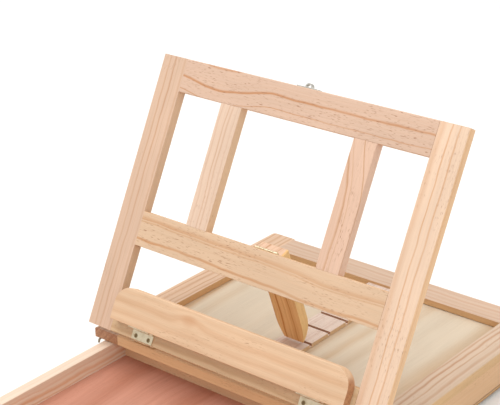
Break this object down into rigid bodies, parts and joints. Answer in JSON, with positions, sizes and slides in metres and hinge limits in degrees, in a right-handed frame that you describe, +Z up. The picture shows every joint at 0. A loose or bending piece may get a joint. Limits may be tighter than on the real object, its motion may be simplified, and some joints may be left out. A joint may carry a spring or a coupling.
{
  "type": "table box easel",
  "caption": "Wooden table-top artist easel: a tilting picture frame with a folding ledge and hinged prop on a shallow box with a pull-out drawer.",
  "frame": {"origin": "centre of the whole object's footprint with the drawer pulled out, at the height of the feet's undersides", "axes": "+Z up, +X to the user's right, +Y from the drawer front to the back of the box"},
  "size_m": [0.34, 0.5264, 0.3008],
  "materials": {
    "pine": "sanded pale pine, unfinished",
    "prop_wood": "sanded honey-brown pine",
    "plywood": "sanded pale plywood",
    "rack_wood": "sanded pinkish hardwood",
    "drawer_plywood": "sanded reddish plywood",
    "hinge_brass": "pale brass plating",
    "nickel": "nickel plating",
    "dark_bronze": "dark bronze plating",
    "feet_rubber": "moulded black rubber"
  },
  "bodies": {
    "base": {"rim_side_rail_left": "pine", "rim_side_rail_right": "pine", "rim_front_rail": "pine", "rim_rear_rail": "pine", "top_panel": "plywood", "prop_rack": "rack_wood", "box_side_left": "pine", "box_side_right": "pine", "box_back": "pine", "box_bottom": "plywood", "feet": "feet_rubber", "frame_hinge_box_leaf_left": "hinge_brass", "frame_hinge_box_leaf_right": "hinge_brass", "box_hinge_screws": "hinge_brass", "bail_plate": "nickel", "bail_screws": "nickel", "hook_screw": "dark_bronze"},
    "frame": {"stile_left": "pine", "stile_right": "pine", "top_rail": "pine", "mid_rail": "pine", "bottom_rail": "pine", "mullion_left": "pine", "mullion_right": "pine", "frame_hinge_frame_leaf_left": "hinge_brass", "frame_hinge_frame_leaf_right": "hinge_brass", "frame_hinge_pins": "hinge_brass", "ledge_hinge_frame_leaf_left": "hinge_brass", "ledge_hinge_frame_leaf_right": "hinge_brass", "ledge_hinge_pins": "hinge_brass", "prop_hinge_frame_leaf": "hinge_brass", "prop_hinge_pin": "hinge_brass", "frame_hinge_screws": "hinge_brass", "catch_plate": "nickel", "catch_screws": "nickel"},
    "ledge": {"ledge": "pine", "ledge_hinge_ledge_leaf_left": "hinge_brass", "ledge_hinge_ledge_leaf_right": "hinge_brass", "ledge_screws": "hinge_brass"},
    "prop": {"prop": "prop_wood", "prop_hinge_prop_leaf": "hinge_brass", "prop_screws": "hinge_brass"},
    "drawer": {"drawer_front": "pine", "drawer_side_left": "pine", "drawer_side_right": "pine", "drawer_back": "pine", "drawer_floor": "drawer_plywood", "drawer_knob": "pine", "hook_eye": "dark_bronze"},
    "hook": {"hook": "dark_bronze"},
    "bail": {"bail": "nickel"}
  },
  "joints": [
    {"name": "frame_tilt", "type": "hinge", "parent": "base", "child": "frame", "pos_m": [0, -0.02055, 0.0515], "axis": [1, 0, 0], "range_deg": [-62.5, 0]},
    {"name": "prop_swing", "type": "hinge", "parent": "frame", "child": "prop", "pos_m": [0, 0.03551, 0.15918], "axis": [1, 0, 0], "range_deg": [0, 133.3]},
    {"name": "ledge_fold", "type": "hinge", "parent": "frame", "child": "ledge", "pos_m": [0, -0.02661, 0.06909], "axis": [1, 0, 0], "range_deg": [0, 90]},
    {"name": "drawer_slide", "type": "slide", "parent": "base", "child": "drawer", "axis": [0, 1, 0], "range_m": [0, 0.222]},
    {"name": "hook_pivot", "type": "hinge", "parent": "base", "child": "hook", "pos_m": [-0.1675, -0.00025, 0.0292], "axis": [1, 0, 0], "range_deg": [0, 108]},
    {"name": "bail_pivot", "type": "hinge", "parent": "base", "child": "bail", "pos_m": [0, 0.26175, 0.04475], "axis": [1, 0, 0], "range_deg": [0, 195]}
  ],
  "couplings": [
    {"joint": "prop_swing", "follows": "frame_tilt", "ratio": -2.1314}
  ]
}
